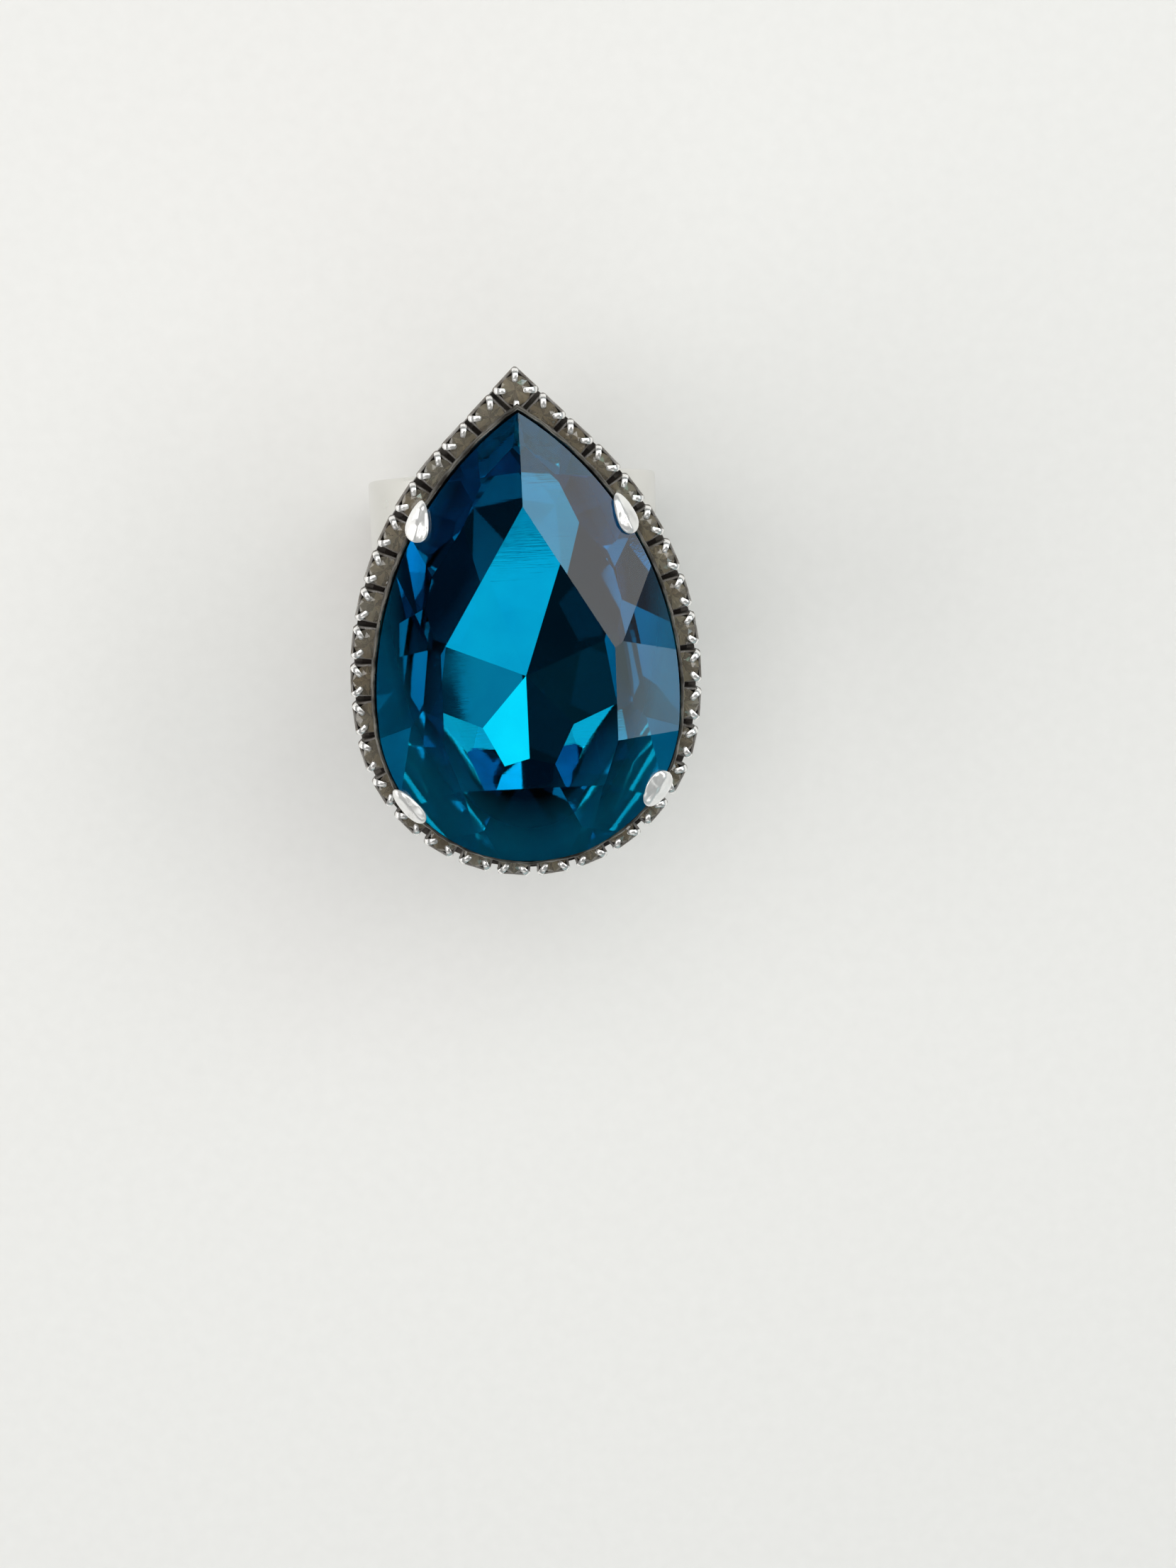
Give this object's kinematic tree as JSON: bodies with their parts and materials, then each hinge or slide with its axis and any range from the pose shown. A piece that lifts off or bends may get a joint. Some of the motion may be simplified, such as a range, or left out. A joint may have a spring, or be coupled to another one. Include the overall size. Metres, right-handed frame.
{
  "type": "cocktail ring",
  "caption": "Cocktail ring with a pear-cut blue crystal held by claws, a halo of small smoky stones in square cups, and a wide open-backed band.",
  "frame": {"origin": "centre of the finger bore, at the middle of the band's width", "axes": "+Y along the finger axis towards the pear's point, +Z from the finger to the crystal, X across the finger"},
  "size_m": [0.0236, 0.0344, 0.0288],
  "materials": {
    "band_silver": "satin silver plate with fine wear lines",
    "setting_silver": "polished, lightly hammered silver plate",
    "crystal_blue": "foil-backed, faceted, deep blue with cyan flashes",
    "plate_gunmetal": "antiqued dark plate",
    "cup_gunmetal": "antiqued dark plate with rubbed bright prongs",
    "chaton_smoke": "foil-backed, faceted, smoky grey"
  },
  "bodies": {
    "root": {"band": "band_silver", "setting": "setting_silver", "crystal": "crystal_blue", "halo_plate": "plate_gunmetal", "cup_tip": "cup_gunmetal", "cup_chain_left": "cup_gunmetal", "cup_chain_right": "cup_gunmetal", "chaton_tip": "chaton_smoke", "chaton_left_01": "chaton_smoke", "chaton_left_02": "chaton_smoke", "chaton_left_03": "chaton_smoke", "chaton_left_04": "chaton_smoke", "chaton_left_05": "chaton_smoke", "chaton_left_06": "chaton_smoke", "chaton_left_07": "chaton_smoke", "chaton_left_08": "chaton_smoke", "chaton_left_09": "chaton_smoke", "chaton_left_10": "chaton_smoke", "chaton_left_11": "chaton_smoke", "chaton_left_12": "chaton_smoke", "chaton_left_13": "chaton_smoke", "chaton_left_14": "chaton_smoke", "chaton_left_15": "chaton_smoke", "chaton_left_16": "chaton_smoke", "chaton_right_01": "chaton_smoke", "chaton_right_02": "chaton_smoke", "chaton_right_03": "chaton_smoke", "chaton_right_04": "chaton_smoke", "chaton_right_05": "chaton_smoke", "chaton_right_06": "chaton_smoke", "chaton_right_07": "chaton_smoke", "chaton_right_08": "chaton_smoke", "chaton_right_09": "chaton_smoke", "chaton_right_10": "chaton_smoke", "chaton_right_11": "chaton_smoke", "chaton_right_12": "chaton_smoke", "chaton_right_13": "chaton_smoke", "chaton_right_14": "chaton_smoke", "chaton_right_15": "chaton_smoke", "chaton_right_16": "chaton_smoke"}
  },
  "joints": []
}
